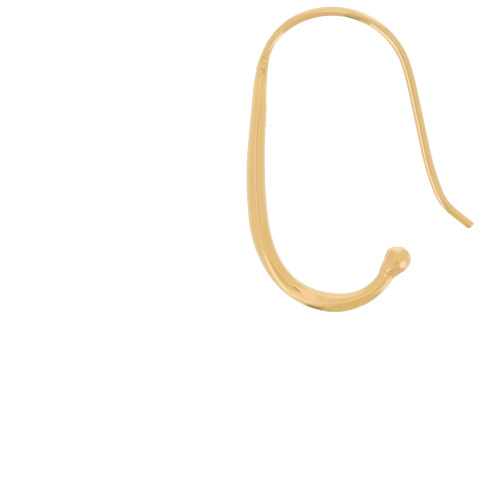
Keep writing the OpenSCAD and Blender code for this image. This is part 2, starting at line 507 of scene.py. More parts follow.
@dataclass(frozen=True)
class GoldFinish:
    """One finish of the same yellow gold. Lengths are in mm, and colours are linear.

    Stains mix in the dull colour; on the bar and the hook they are painted dark reflections. Tones and
    lines are painted highlights and shades, which make the gold paler or deeper where they lie.
    """

    # How much of the roughness comes from the streaks, and how much from the haze
    STREAK_SHARE = 0.4
    HAZE_SHARE = 0.6
    # What is added to the seed for the haze
    HAZE_SEED = 4.0

    name: str
    seed: float
    streak_length: float
    streak_width: float
    colour: Colour = (0.775, 0.527, 0.226)
    warm: Colour = (0.790, 0.520, 0.214)
    dull: Colour = (0.38, 0.34, 0.27)
    polish: float = 0.05
    polish_spread: float = 0.05
    streak_depth: float = 0.0004
    streak_tone: float = 0.05
    haze_size: float = 1.6
    pit_spacing: float = 0.6
    pit_size: float = 0.05
    pit_depth: float = 0.002
    # Spots of the dull colour: stains, and on the bar and the hook painted dark reflections
    stains: tuple[Spot, ...] = ()
    # Painted highlights and shades, as spots and lines
    tones: tuple[Spot | PaintedLightLine, ...] = ()

    def material(self, groups: NodeGroups) -> bpy.types.Material:
        """Makes the finish as a material.

        Args:
            groups: The shared node groups.

        Returns:
            The material, with colour, polish and relief from the shared surface effects.
        """
        made = bpy.data.materials.new(self.name)
        made.use_nodes = True
        tree = Tree(made.node_tree)
        shader = made.node_tree.nodes["Principled BSDF"]
        shader.inputs["Metallic"].default_value = 1.0
        place = tree.add("ShaderNodeAttribute", attribute_name=PLACE_DATA).outputs["Vector"]
        size = {"Length": self.streak_length, "Width": self.streak_width}
        streaks = tree.group(groups.streaks, Place=place, Seed=self.seed, **size)
        haze_seed = self.seed + self.HAZE_SEED
        haze = tree.group(groups.haze, Place=place, Size=self.haze_size, Seed=haze_seed)
        pits = tree.group(groups.pits, Place=place, Spacing=self.pit_spacing, Size=self.pit_size)
        level = tree.math("MULTIPLY_ADD", streaks, self.streak_tone, 1.0 - self.streak_tone / 2)
        # Painted highlights and shades raise or lower the level of light that is painted into the colour
        for tone in self.tones:
            level = tree.math("MULTIPLY_ADD", tone.mask(tree, groups, place), tone.amount, level)
        dull = pits
        # Stains and painted dark reflections mix in the dull colour over the pits
        for dull_spot in self.stains:
            mask = dull_spot.mask(tree, groups, place)
            dull = tree.math("MULTIPLY_ADD", mask, dull_spot.amount, dull, clamp=True)
        gold = tree.mix("MIX", haze, (*self.colour, 1.0), (*self.warm, 1.0))
        toned_with_painted_light = tree.mix("MULTIPLY", 1.0, gold, tree.group(groups.tone, Level=level))
        worn_and_shaded = tree.mix("MIX", dull, toned_with_painted_light, (*self.dull, 1.0))
        tree.feed(shader.inputs["Base Color"], worn_and_shaded)
        hazed = tree.math("MULTIPLY", haze, self.HAZE_SHARE)
        rough = tree.math("MULTIPLY_ADD", streaks, self.STREAK_SHARE, hazed)
        dullest = self.polish + self.polish_spread
        tree.feed(shader.inputs["Roughness"], tree.ramp(rough, 0.0, 1.0, self.polish, dullest))
        lines = tree.math("MULTIPLY", streaks, self.streak_depth * MM)
        bump = tree.add("ShaderNodeBump")
        tree.feed(bump.inputs["Height"], tree.math("MULTIPLY_ADD", pits, -self.pit_depth * MM, lines))
        bump.inputs["Distance"].default_value = 1.0
        tree.feed(shader.inputs["Normal"], bump.outputs["Normal"])
        return made


# The line that forging left along the top of the front, which its crest follows. Its amount paints a
# dark reflection along it
CREST_LINE = PaintedLightLine(18.6, 32.0, -0.05, 0.04, 18.0, 0.08, -0.18, 2.0, 12.4)

BALL_FINISH = GoldFinish(
    name="melted_gold",
    seed=1.0,
    streak_length=1.2,
    streak_width=0.16,
    stains=(Spot((1.50, 0.36, 0.78), (0.50, 0.30, 0.4), 0.06, 0.0),),
    tones=(
        # Painted highlights and shades on the ball
        Spot((-0.72, -0.70, 0.88), (0.85, 0.24, 0.6), 0.07, 0.6, 55),
        Spot((-0.10, 1.05, 0.65), (0.60, 0.15, 0.6), -0.18, 0.3, -14),
        Spot((0.13, 0.72, 1.06), (0.35, 0.35, 0.4), 0.05, 0.85),
        Spot((0.30, -0.72, 0.90), (0.90, 0.42, 0.7), -0.07),
        Spot((0.30, -1.18, 0.35), (0.95, 0.16, 0.7), -0.20, 0.3, -11),
        Spot((0.35, -0.94, 0.80), (0.80, 0.07, 0.5), 0.26, 0.3, -11),
        # Painted shade along the crease across its top, and beside it
        Spot((0.54, 0.09, 1.25), (0.54, 0.075, 0.4), -0.42, 0.2, -6),
        Spot((0.70, -0.22, 1.15), (0.36, 0.13, 0.4), -0.22),
        Spot((0.70, -0.05, 1.15), (0.40, 0.30, 0.5), -0.10, 0.0),
        # Shades on the neck
        Spot((0.92, 0.86, 0.40), (0.34, 0.14, 0.5), -0.16, 0.3, 27),
        Spot((1.33, 0.20, 0.90), (0.16, 0.07, 0.4), -0.14),
        Spot((1.45, 0.22, 0.80), (0.70, 0.40, 0.5), -0.05, 0.0),
        Spot((1.98, 0.34, 0.68), (0.38, 0.24, 0.5), -0.15),
        # Painted highlights on the crests of the solder's wrinkles
        Spot((1.33, -0.10, 0.95), (0.34, 0.070, 0.4), 0.62, 0.3, 33),
        Spot((1.60, -0.10, 0.90), (0.24, 0.060, 0.4), 0.42, 0.3, 6),
        Spot((2.01, 0.19, 0.78), (0.24, 0.060, 0.4), 0.36, 0.3, 42),
        Spot((2.04, -0.10, 0.80), (0.22, 0.070, 0.4), 0.55, 0.3, -49),
    ),
)
BAR_FINISH = GoldFinish(
    name="forged_gold",
    seed=2.0,
    streak_length=4.5,
    streak_width=0.14,
    dull=(0.40, 0.37, 0.28),
    # A painted dark reflection low on the outside of the bowl
    stains=(Spot((9.8, 0.87, 0.42), (1.3, 0.19, 0.5), 0.82),),
    tones=(
        # Painted highlights and shades from the neck into the bowl
        Spot((3.0, 0.25, 0.72), (1.1, 0.33, 0.5), -0.11),
        Spot((3.6, 0.43, 0.6), (0.6, 0.20, 0.4), -0.10),
        Spot((4.0, 0.60, 0.50), (0.6, 0.35, 0.5), -0.06),
        Spot((4.8, -0.50, 0.62), (0.7, 0.24, 0.4), 0.03),
        Spot((7.0, 0.05, 0.92), (0.7, 0.07, 0.4), 0.12, 0.3, -4),
        Spot((7.8, -0.52, 0.74), (1.5, 0.17, 0.4), 0.09),
        Spot((7.9, 0.09, 0.96), (0.8, 0.11, 0.4), 0.14, 0.3, -5),
        Spot((8.4, 0.31, 0.92), (1.0, 0.06, 0.4), 0.14, 0.3, -18),
        Spot((8.6, 0.78, 0.5), (0.5, 0.16, 0.4), -0.14),
        Spot((9.0, -0.22, 0.92), (0.5, 0.36, 0.4), 0.08),
        Spot((9.1, 0.46, 0.85), (0.5, 0.15, 0.4), -0.08),
        # Painted shade in the scratch in the bowl, and a painted highlight beside it
        Spot((11.0, -0.12, 0.94), (1.7, 0.44, 0.5), 0.22),
        Spot((12.12, -0.07, 0.95), (0.76, 0.11, 0.25), -0.52, 0.3, 2),
        Spot((12.15, -0.24, 0.92), (0.95, 0.08, 0.3), 0.26, 0.3, 3),
        Spot((12.2, 0.35, 0.88), (0.8, 0.45, 0.4), 0.05),
        Spot((12.9, -0.16, 0.94), (0.5, 0.15, 0.3), 0.10),
        Spot((13.1, 0.57, 0.76), (0.7, 0.16, 0.4), 0.10),
        # Painted highlights and shade out of the bowl and up the front
        Spot((15.2, 0.08, 0.95), (2.0, 0.13, 0.3), -0.10),
        Spot((16.9, 0.34, 0.94), (0.8, 0.20, 0.3), 0.07),
        Spot((18.1, 0.20, 0.94), (0.9, 0.14, 0.3), 0.07),
        Spot((33.3, -0.10, 0.62), (2.2, 0.70, 0.6), 0.045),
        # Painted highlight and shade lines along the top
        PaintedLightLine(2.4, 8.6, -0.04, 0.02, 9.0, 0.07, 0.14, 0.8),
        PaintedLightLine(3.0, 8.4, 0.12, 0.02, 9.0, 0.09, -0.09, 0.8),
        CREST_LINE,
        PaintedLightLine(18.6, 32.0, 0.06, 0.04, 18.0, 0.08, 0.14, 2.0, 12.4),
        PaintedLightLine(18.6, 31.0, -0.21, 0.04, 18.0, 0.08, 0.09, 2.0, 12.4),
        PaintedLightLine(32.6, 35.2, -0.03, 0.02, 9.0, 0.12, 0.07, 0.6),
        PaintedLightLine(33.6, 35.2, -0.20, 0.02, 9.0, 0.10, -0.08, 0.5),
    ),
)
SOLDER_FINISH = GoldFinish(
    name="solder_gold",
    seed=3.0,
    streak_length=1.2,
    streak_width=0.12,
    dull=(0.42, 0.28, 0.13),
    polish=0.12,
    polish_spread=0.10,
    streak_tone=0.06,
    haze_size=0.5,
    pit_spacing=0.22,
    pit_size=0.12,
    pit_depth=0.004,
    stains=(
        Spot((35.22, -0.20, 0.50), (0.20, 0.15, 0.3), 0.85),
        Spot((35.42, -0.26, 0.48), (0.12, 0.10, 0.3), 0.45),
        Spot((35.45, 0.0, 0.52), (0.10, 0.28, 0.3), 0.30),
        Spot((36.08, -0.15, 0.45), (0.16, 0.20, 0.3), 0.42),
        Spot((36.44, -0.10, 0.45), (0.10, 0.20, 0.3), 0.28),
        Spot((36.69, 0.04, 0.45), (0.18, 0.20, 0.3), 0.35),
    ),
    tones=(
        # Painted highlights and shades on the solder
        Spot((35.45, 0.0, 0.52), (0.10, 0.30, 0.3), -0.22),
        Spot((35.75, 0.10, 0.50), (0.12, 0.40, 0.3), 0.08),
        Spot((36.25, -0.15, 0.45), (0.12, 0.25, 0.3), 0.16),
        Spot((36.40, 0.12, 0.48), (0.60, 0.12, 0.3), -0.09),
    ),
)
# The dark end of the tail's inside, which the hook and the tail share
TAIL_SHADE = Spot((71.4, -0.25, 0.36), (2.3, 0.26, 0.5), -0.27)
HOOK_FINISH = GoldFinish(
    name="drawn_wire_gold",
    seed=4.0,
    streak_length=5.0,
    streak_width=0.08,
    colour=(0.753, 0.526, 0.246),
    warm=(0.766, 0.519, 0.235),
    dull=(0.52, 0.48, 0.35),
    # A painted dark reflection low on the inside of the hook over the ear
    stains=(Spot((47.9, -0.38, 0.24), (1.4, 0.19, 0.5), 0.65),),
    tones=(
        # Painted highlights above the joint
        Spot((37.2, -0.05, 0.48), (1.0, 0.45, 0.5), 0.04),
        Spot((37.3, 0.32, 0.38), (1.3, 0.16, 0.4), 0.09),
        Spot((38.3, -0.23, 0.36), (1.8, 0.09, 0.4), 0.30, 0.3, 2.5),
        # Painted highlights and shades over the ear
        Spot((43.3, 0.32, 0.36), (1.6, 0.17, 0.4), 0.04),
        Spot((45.6, 0.0, 0.49), (2.4, 0.19, 0.3), 0.18),
        Spot((47.6, -0.25, 0.42), (1.2, 0.23, 0.5), -0.26, 0.5),
        Spot((48.8, -0.25, 0.42), (1.3, 0.27, 0.4), -0.31),
        Spot((49.3, 0.27, 0.38), (2.0, 0.27, 0.5), 0.15),
        # Painted highlight lines and a painted shade line down the back
        PaintedLightLine(49.3, 69.6, -0.26, 0.05, 30.0, 0.09, 0.27, 0.6, 10.7),
        PaintedLightLine(52.6, 67.5, -0.07, 0.035, 30.0, 0.12, -0.21, 1.5, 7.4),
        PaintedLightLine(53.4, 69.6, -0.25, 0.035, 30.0, 0.095, 0.27, 1.2, 6.6),
        # Painted shade and a painted highlight on the kick
        Spot((69.4, -0.15, 0.42), (1.3, 0.13, 0.4), -0.15),
        Spot((70.0, -0.38, 0.28), (1.0, 0.08, 0.4), 0.36, 0.3, 7),
        TAIL_SHADE,
    ),
)
TAIL_FINISH = GoldFinish(
    name="filed_wire_gold",
    seed=5.0,
    streak_length=2.0,
    streak_width=0.06,
    polish=0.08,
    haze_size=0.6,
    # Painted shade at the end of the tail's inside and at its end corner
    tones=(TAIL_SHADE, Spot((72.95, -0.25, 0.36), (0.6, 0.22, 0.5), -0.22)),
)


@dataclass(frozen=True)
class Rows:
    """Sizes in mm at distances along the wire, smoothed over a short length."""

    rows: tuple[tuple[float, float], ...]
    blend: float = 0.4

    def at(self, along: Array) -> Array:
        """Finds the sizes at places along the wire.

        Args:
            along: Distances along the wire in mm.

        Returns:
            The sizes in mm.
        """
        places, sizes = np.array(self.rows).T
        before, here, after = (
            np.interp(along + step, places, sizes) for step in (-self.blend, 0, self.blend)
        )
        return (before + 2 * here + after) / 4


def smoothstep(low: float, high: float, value: Array) -> Array:
    """Goes smoothly from 0 at low to 1 at high."""
    t = np.clip((value - low) / (high - low), 0.0, 1.0)
    return t * t * (3 - 2 * t)


def window(places: Sequence[float], value: Array) -> Array:
    """Goes smoothly from 0 to 1 between the first two places, and back between the last two."""
    start, full, turn, end = places
    return smoothstep(start, full, value) * (1 - smoothstep(turn, end, value))


@dataclass(frozen=True)
class Mark:
    """A small dent or bump: where it is, how far it rises, and its half length and width.

    Distances are in mm and angles in degrees. A negative rise is a dent. The slant turns the
    mark's length away from the wire's own, towards the inside of the bowl.
    """

    along: float
    around: float
    rise: float
    length: float
    width: float
    slant: float = 0.0

    def relief(self, skin: Skin) -> Array:
        """Works out the mark's height.

        Args:
            skin: Places on the wire.

        Returns:
            The heights in mm.
        """
        ahead = skin.along - self.along
        turn = np.angle(np.exp(1j * (skin.around - math.radians(self.around))))
        across = skin.radius * turn
        cos, sin = math.cos(math.radians(self.slant)), math.sin(math.radians(self.slant))
        lengthways = (ahead * cos + across * sin) / self.length
        widthways = (across * cos - ahead * sin) / self.width
        return self.rise * np.exp(-(lengthways**2) - widthways**2)


@dataclass(frozen=True)
class Waves:
    """Slight waves of the surface, as smooth noise. Lengths are in mm.

    The size is the waves' length along and across the wire. They come in between the first two
    places of the reach and die out between the last two. Another seed gives other waves.
    """

    height: float
    size: tuple[float, float]
    reach: tuple[float, float, float, float]
    seed: float

    def relief(self, skin: Skin) -> Array:
        """Works out the waves' height.

        Args:
            skin: Places on the wire.

        Returns:
            The heights in mm.
        """
        length, width = self.size
        points = [
            skin.along / length + self.seed,
            skin.radius * np.cos(skin.around) / width + self.seed,
            skin.radius * np.sin(skin.around) / width - self.seed,
        ]
        made = [noise.noise(Vector(point)) for point in np.stack(points, -1).reshape(-1, 3)]
        waves = np.array(made).reshape(skin.along.shape)
        return self.height * window(self.reach, skin.along) * waves


@dataclass(frozen=True)
class Facet:
    """A flat on the ball: which way it faces on the straight wire, and how far out it lies in mm."""

    # Keeps the limit finite round the sides that face away from the flat
    LEAST_TOWARD = 0.02

    facing: tuple[float, float, float]
    reach: float
    blend: float = 0.02

    def relief(self, skin: Skin) -> Array:
        """Works out how much the flat takes off.

        Args:
            skin: Places on the wire.

        Returns:
            The heights in mm, which are negative where it cuts.
        """
        ahead, side, rise = self.facing
        toward = side * np.cos(skin.around) + rise * np.sin(skin.around)
        toward = np.clip(toward, self.LEAST_TOWARD, None)
        limit = (self.reach - ahead * skin.along) / toward
        apart = np.sqrt((skin.radius - limit) ** 2 + self.blend**2)
        return (limit - skin.radius - apart) / 2


def even_places(start: float, end: float, gap: float) -> Array:
    """Even distances from start up to end, without end itself, about gap apart."""
    count = max(1, math.ceil((end - start) / gap))
    return start + (end - start) * np.arange(count) / count


@dataclass
class WirePart(ABC):
    """A sub-assembly of the wire: its stretch, its finish, its marks and where its rings lie."""

    stretch: ClassVar[Stretch]
    finish: ClassVar[GoldFinish]
    path: WirePath
    marks: tuple[Mark | Waves, ...] = ()

    @abstractmethod
    def ring_places(self) -> Array:
        """Distances in mm at which the part is cut into rings."""

    def relief(self, skin: Skin) -> Array:
        """Height in mm of the part's own marks and waves over its round section."""
        return sum((mark.relief(skin) for mark in self.marks), np.zeros(skin.along.shape))


@dataclass
class BallEnd(WirePart):
    """The balled front end, with the wrinkled solder where its neck leaves it."""

    stretch = Stretch.BALL_END
    finish = BALL_FINISH
    ball_d: float = 2.65
    ball_l: float = 2.78
    squareness: float = 2.25
    end_l: float = 2.4
    pole_rings: int = 24
    ring_gap: float = 0.045
    neck_fade: tuple[float, float] = (-1.2, 0.4)
    blend: float = 0.07
    blend_fade: tuple[float, float] = (-0.4, 0.5)
    outer_flare: Rows = Rows(
        ((-1.4, 0.0), (0.2, 0.24), (0.6, 0.35), (1.0, 0.27), (1.8, -0.03), (2.6, 0.0)), 0.12
    )
    inner_flare: Rows = Rows(
        ((-1.4, 0.0), (0.2, 0.25), (0.8, 0.31), (1.3, 0.29), (1.95, 0.13), (2.25, 0.0), (2.6, 0.0)), 0.12
    )
    facets: tuple[Facet, ...] = (
        Facet((0.09, 0.55, 0.83), 1.292, 0.01),
        Facet((-0.82, -0.57, 0.0), 1.30, 0.04),
        Facet((-0.53, -0.57, 0.62), 1.30),
    )
    facet_fade: tuple[float, float] = (0.9, 1.3)
    marks: tuple[Mark | Waves, ...] = (
        # The hollows and the bump of the ball's outline
        Mark(0.52, 180, -0.030, 0.34, 0.60),
        Mark(-0.88, 0, -0.050, 0.25, 0.50),
        Mark(-0.32, 180, 0.080, 0.34, 0.60),
        # The solder's four wrinkles, the ball's crease and two dents of the neck
        Mark(1.33, 96, 0.030, 0.30, 0.05, 33),
        Mark(1.60, 97, 0.028, 0.22, 0.05, 6),
        Mark(2.04, 97, 0.032, 0.20, 0.05, -49),
        Mark(2.01, 76, 0.024, 0.20, 0.05, 42),
        Mark(0.50, 86, -0.006, 0.40, 0.05, -6),
        Mark(1.45, 72, -0.030, 0.26, 0.26),
        Mark(1.75, 84, -0.020, 0.14, 0.10),
    )

    def ring_places(self) -> Array:
        """Rings at even angles from the pole to the ball's girdle, then at even distances.

        Returns:
            The distances along the wire in mm.
        """
        angles = np.radians(90.0) * np.arange(1, self.pole_rings) / self.pole_rings
        pole = -self.ball_l / 2 * np.cos(angles)
        return np.concatenate([pole, even_places(0.0, self.end_l, self.ring_gap)])

    def ball_radius(self, along: Array) -> Array:
        """Radius in mm of the ball's own section, which is a little squarer than a circle."""
        share = np.clip(np.abs(along) / (self.ball_l / 2), 0.0, 1.0)
        return self.ball_d / 2 * (1 - share**self.squareness) ** (1 / self.squareness)

    def flare(self, along: Array, around: Array) -> Array:
        """How far in mm the neck's fillet of solder stands out of the round neck."""
        outer, inner = self.outer_flare.at(along), self.inner_flare.at(along)
        return (outer + inner) / 2 + (outer - inner) / 2 * np.cos(around)

    def relief(self, skin: Skin) -> Array:
        """The ball's marks and its flats, and the wrinkles of the solder at the neck."""
        cuts = sum(facet.relief(skin) for facet in self.facets)
        return super().relief(skin) + cuts * (1 - smoothstep(*self.facet_fade, skin.along))


@dataclass
class FrontBar(WirePart):
    """The thick bar through the bowl and up the front, forged and drawn down to the joint."""

    stretch = Stretch.FRONT_BAR
    finish = BAR_FINISH
    neck_l: float = BallEnd.end_l
    neck_d: float = 1.55
    bowl_d: float = 1.92
    cheek_d: float = 2.04
    tip_d: float = 1.06
    tip_l: float = 0.7
    tip_start: float = 34.6
    ring_gap: float = 0.1
    crest_reach: tuple[float, float, float, float] = (17.0, 20.0, 30.5, 32.5)
    crest_slope: float = 0.10
    crest_width: float = 0.05
    crest_side: float = 0.45
    marks: tuple[Mark | Waves, ...] = (
        Waves(0.006, (3.0, 1.4), (2.5, 4.5, 32.5, 34.5), 3.7),
        # The bulge inside the bowl, and the scratch on the bowl's top
        Mark(8.80, 180, 0.085, 2.6, 0.80),
        Mark(12.20, 96, -0.012, 0.50, 0.07, 4),
        # Three small ridges inside the front, and the low bump above them
        Mark(29.98, 180, 0.085, 0.10, 0.28),
        Mark(30.40, 180, 0.085, 0.09, 0.28),
        Mark(30.80, 180, 0.070, 0.10, 0.28),
        Mark(31.60, 180, 0.050, 0.70, 0.40),
    )

    def taper(self) -> Rows:
        """Diameters of the bar, from the neck below the ball to the solder at its tip.

        Returns:
            The diameters at distances along the wire.
        """
        shares = (
            (0.07, 1.02 * self.neck_d),
            (0.085, self.neck_d),
            (0.11, 1.02 * self.neck_d),
            (0.165, 0.89 * self.bowl_d),
            (0.225, self.bowl_d),
            (0.34, 0.98 * self.bowl_d),
            (0.43, self.bowl_d),
            (0.54, self.cheek_d),
            (0.62, 0.97 * self.cheek_d),
            (0.71, 0.93 * self.cheek_d),
            (0.8, 0.83 * self.cheek_d),
            (0.91, 0.7 * self.cheek_d),
            (0.945, 0.65 * self.cheek_d),
            (1.0, self.tip_d),
        )
        bar_l = self.path.bar_l
        bar = tuple((share * bar_l, size) for share, size in shares)
        tip = ((bar_l + 0.6 * self.tip_l, 0.94 * self.tip_d), (bar_l + self.tip_l, 0.86 * self.tip_d))
        return Rows(bar + tip)

    def ring_places(self) -> Array:
        """Rings at even distances from the neck to the joint."""
        return even_places(self.neck_l, self.tip_start, self.ring_gap)

    def crest(self, skin: Skin) -> Array:
        """The low crest that forging left along the top of the front.

        Args:
            skin: Places on the wire.

        Returns:
            The heights in mm, which are 0 on the crest's line and negative beside it.
        """
        across = skin.radius * (skin.around - CREST_LINE.angle(skin))
        drop = np.sqrt(across**2 + self.crest_width**2) - self.crest_width
        near = np.exp(-((across / self.crest_side) ** 2))
        return -self.crest_slope * window(self.crest_reach, skin.along) * drop * near

    def relief(self, skin: Skin) -> Array:
        """The forged bar's marks, its slight waves and its crest."""
        return super().relief(skin) + self.crest(skin)


@dataclass
class SolderJoint(WirePart):
    """The solder that joins the bar's tip to the hook's wire, with its step, seam and pits."""

    stretch = Stretch.SOLDER_JOINT
    finish = SOLDER_FINISH
    start: float = FrontBar.tip_start
    end: float = 37.6
    ring_gap: float = 0.04
    marks: tuple[Mark | Waves, ...] = (
        # The rough skin of the solder, and its seam all round the bar
        Waves(0.008, (0.26, 0.18), (34.9, 35.3, 36.9, 37.5), 11.3),
        Mark(35.38, 0, -0.012, 0.06, math.inf),
        # Its dents and ridges, from the bar's side to the wire's
        Mark(35.22, 112, -0.060, 0.12, 0.12),
        Mark(35.45, 90, -0.035, 0.09, 0.26),
        Mark(35.50, 0, 0.050, 0.12, 0.22),
        Mark(35.75, 4, 0.020, 0.40, 0.30),
        Mark(36.22, 106, 0.016, 0.09, 0.20),
        Mark(36.08, 106, -0.016, 0.08, 0.20),
        Mark(36.69, 86, -0.020, 0.09, 0.22),
        Mark(36.95, 80, 0.014, 0.10, 0.30),
    )

    def ring_places(self) -> Array:
        """Rings at even distances across the joint."""
        return even_places(self.start, self.end, self.ring_gap)


@dataclass
class EarHook(WirePart):
    """The round wire from the joint over the ear and down behind it to the kick."""

    stretch = Stretch.EAR_HOOK
    finish = HOOK_FINISH
    start: float = SolderJoint.end
    wire_d: float = 0.98
    waist_d: float = 0.85
    tail_d: float = 0.9
    ring_gap: float = 0.15
    # Waves of wire that was bent by hand, which reach to its end
    marks: tuple[Mark | Waves, ...] = (Waves(0.002, (2.4, 0.8), (37.6, 39.1, 80.0, 81.0), 7.9),)

    def taper(self) -> Rows:
        """Diameters of the wire, filed thin above the joint.

        Returns:
            The diameters at distances along the wire.
        """
        shares = (
            (0.16, 1.04 * self.waist_d),
            (0.35, 1.01 * self.waist_d),
            (0.52, self.waist_d),
            (0.7, 1.05 * self.waist_d),
            (0.92, 0.98 * self.wire_d),
        )
        bar_l, crook_l = self.path.bar_l, self.path.crook.length
        crook = tuple((bar_l + share * crook_l, size) for share, size in shares)
        rest = (
            (self.path.arch_s, self.wire_d),
            (self.path.kick_s, self.wire_d),
            (self.path.tail_s, self.tail_d),
        )
        return Rows(crook + rest)

    def ring_places(self) -> Array:
        """Rings at even distances from the joint to the tail."""
        return even_places(self.start, self.path.tail_s, self.ring_gap)


@dataclass
class Tail(WirePart):
    """The straight tail with its filed end, which is cut a little slanted."""

    stretch = Stretch.TAIL
    finish = TAIL_FINISH
    tail_d: float = EarHook.tail_d
    chamfer: float = 0.14
    fillet: float = 0.03
    fillet_share: float = 0.6
    slant: float = 8.0
    slant_l: float = 0.5
    ring_gap: float = 0.08
    edge_rings: int = 5

    def ring_places(self) -> Array:
        """Rings at even distances, and close together over the filed corner.

        Returns:
            The distances along the wire in mm.
        """
        end = self.path.wire_l
        corner = end - self.chamfer - self.fillet
        straight = even_places(self.path.tail_s, corner, self.ring_gap)
        return np.concatenate([straight, np.linspace(corner, end, 2 * self.edge_rings + 1)])

    def end_radius(self, along: Array) -> Array:
        """Works out what the filed corner leaves.

        Args:
            along: Distances along the wire in mm.

        Returns:
            The largest radii in mm.
        """
        end, r = self.path.wire_l, self.tail_d / 2
        left = np.clip(end - along, 0.0, None)
        cone = r - self.chamfer + left
        tip = self.fillet - np.sqrt(np.clip(self.fillet**2 - (self.fillet - left) ** 2, 0.0, None))
        rounded = np.where(left < self.fillet, cone - tip * self.fillet_share, cone)
        return (rounded + r - np.sqrt((rounded - r) ** 2 + self.fillet**2)) / 2

    def shift(self, along: Array, side: Array) -> Array:
        """How far in mm the slanted cut moves the surface along the wire."""
        share = smoothstep(self.path.wire_l - self.slant_l, self.path.wire_l, along)
        return share * math.tan(math.radians(self.slant)) * side


@dataclass
class RestingPlane:
    """The flat surface under the wire, which touches the ball, the bar and the hook."""

    slopes: Array
    drop: float

    @classmethod
    def under(cls, supports: Sequence[Array]) -> "RestingPlane":
        """Fits the plane that touches three supports from below.

        Args:
            supports: Three rows of place in the wire's plane and radius, in mm.

        Returns:
            The plane.
        """
        points = np.array(supports)
        grid = np.column_stack([points[:, :2], np.ones(3)])
        sx, sy, drop = np.linalg.solve(grid, points[:, 2])
        return cls(np.array([sx, sy]), float(drop))

    def gaps(self, supports: Array) -> Array:
        """Heights in mm of supports above the plane."""
        return supports[:, :2] @ self.slopes + self.drop - supports[:, 2]

    def laid_flat(self, middle: Array) -> Matrix:
        """Makes the move that lays the wire on the floor, in mm.

        Args:
            middle: Place in the wire's plane that comes over the origin.

        Returns:
            The move as a matrix of four rows.
        """
        tilt = math.asin(float(np.linalg.norm(self.slopes)))
        height = float(middle @ self.slopes) + self.drop
        lift = Matrix.Translation((0.0, 0.0, height))
        turn = Matrix.Rotation(tilt, 4, Vector((self.slopes[1], -self.slopes[0], 0.0)))
        return lift @ turn @ Matrix.Translation((-middle[0], -middle[1], 0.0))


